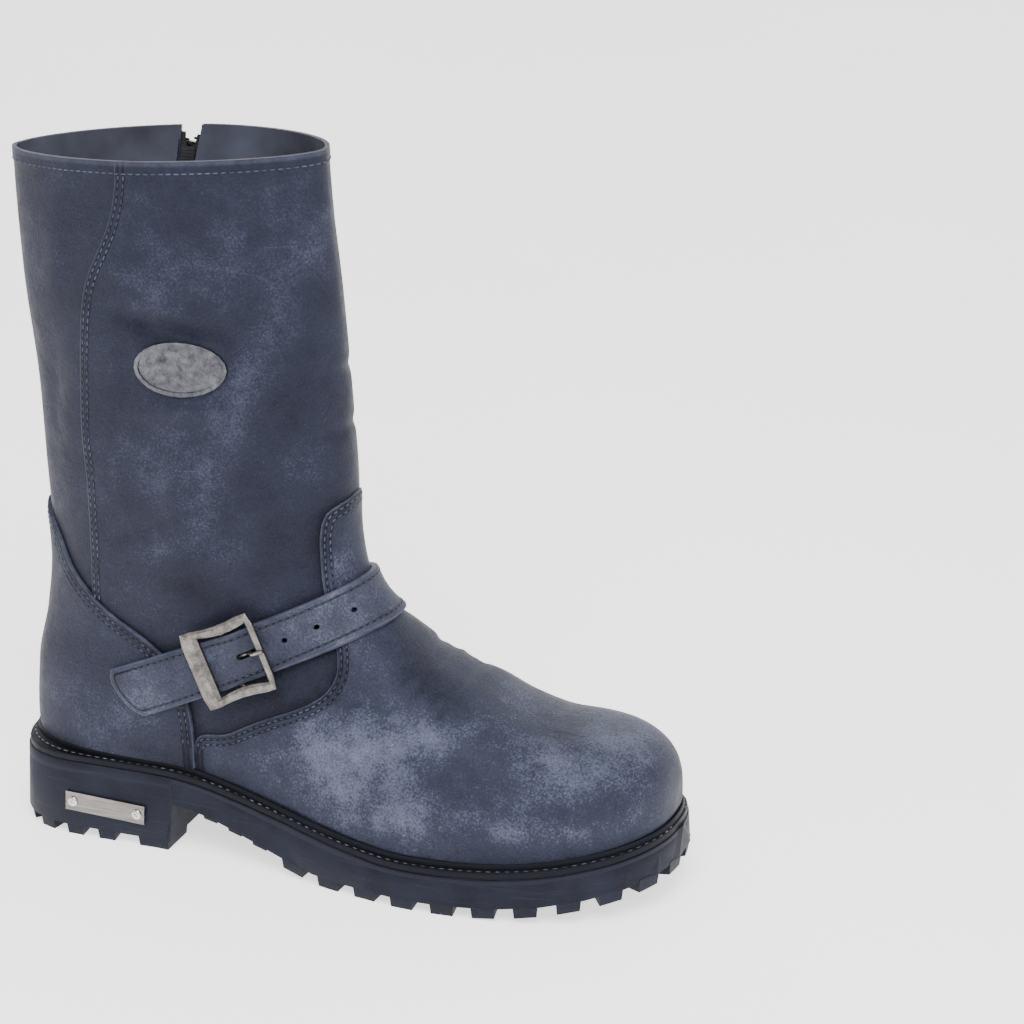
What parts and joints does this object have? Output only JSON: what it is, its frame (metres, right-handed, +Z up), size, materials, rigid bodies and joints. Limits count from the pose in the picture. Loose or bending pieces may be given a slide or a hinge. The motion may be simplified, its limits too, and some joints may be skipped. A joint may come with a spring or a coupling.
{
  "type": "engineer boot",
  "caption": "Right engineer boot: hollow leather shaft and vamp on a lugged rubber sole with heel, instep strap with buckle, and a side zip.",
  "frame": {"origin": "middle of the heel's ground face", "axes": "+X to the toe, +Y to the inner side of the foot, +Z up"},
  "size_m": [0.3144, 0.1133, 0.3209],
  "materials": {
    "sole_rubber": "matte, dark blue grey",
    "welt_rubber": "satin black",
    "insole_board": "matte lining",
    "upper_leather": "washed blue black, half matte",
    "counter_leather": "washed blue black, half matte",
    "strap_leather": "washed blue black, half matte",
    "pewter": "aged pewter",
    "prong_metal": "aged pewter",
    "tape_cloth": "black woven tape",
    "tooth_metal": "dark metal teeth",
    "slider_metal": "bright metal",
    "tab_metal": "bright metal",
    "stop_metal": "bright metal",
    "badge_metal": "aged pewter",
    "plate_metal": "brushed",
    "screw_metal": "polished"
  },
  "bodies": {
    "boot": {"outsole": "sole_rubber", "welt": "welt_rubber", "insole": "insole_board", "upper": "upper_leather", "heel_counter": "counter_leather", "strap": "strap_leather", "buckle_frame": "pewter", "buckle_prong": "prong_metal", "zip_tape": "tape_cloth", "zip_chain": "tooth_metal", "zip_slider": "slider_metal", "zip_bottom_stop": "stop_metal", "shaft_badge": "badge_metal", "heel_plate": "plate_metal", "heel_plate_screw_back": "screw_metal", "heel_plate_screw_front": "screw_metal"},
    "pull_tab": {"zip_pull_tab": "tab_metal"}
  },
  "joints": [
    {"name": "pull_tab_hinge", "type": "hinge", "parent": "boot", "child": "pull_tab", "pos_m": [0.02161, 0.05135, 0.30236], "axis": [0.9765, 0.1498, -0.1547], "range_deg": [-5, 165]}
  ]
}
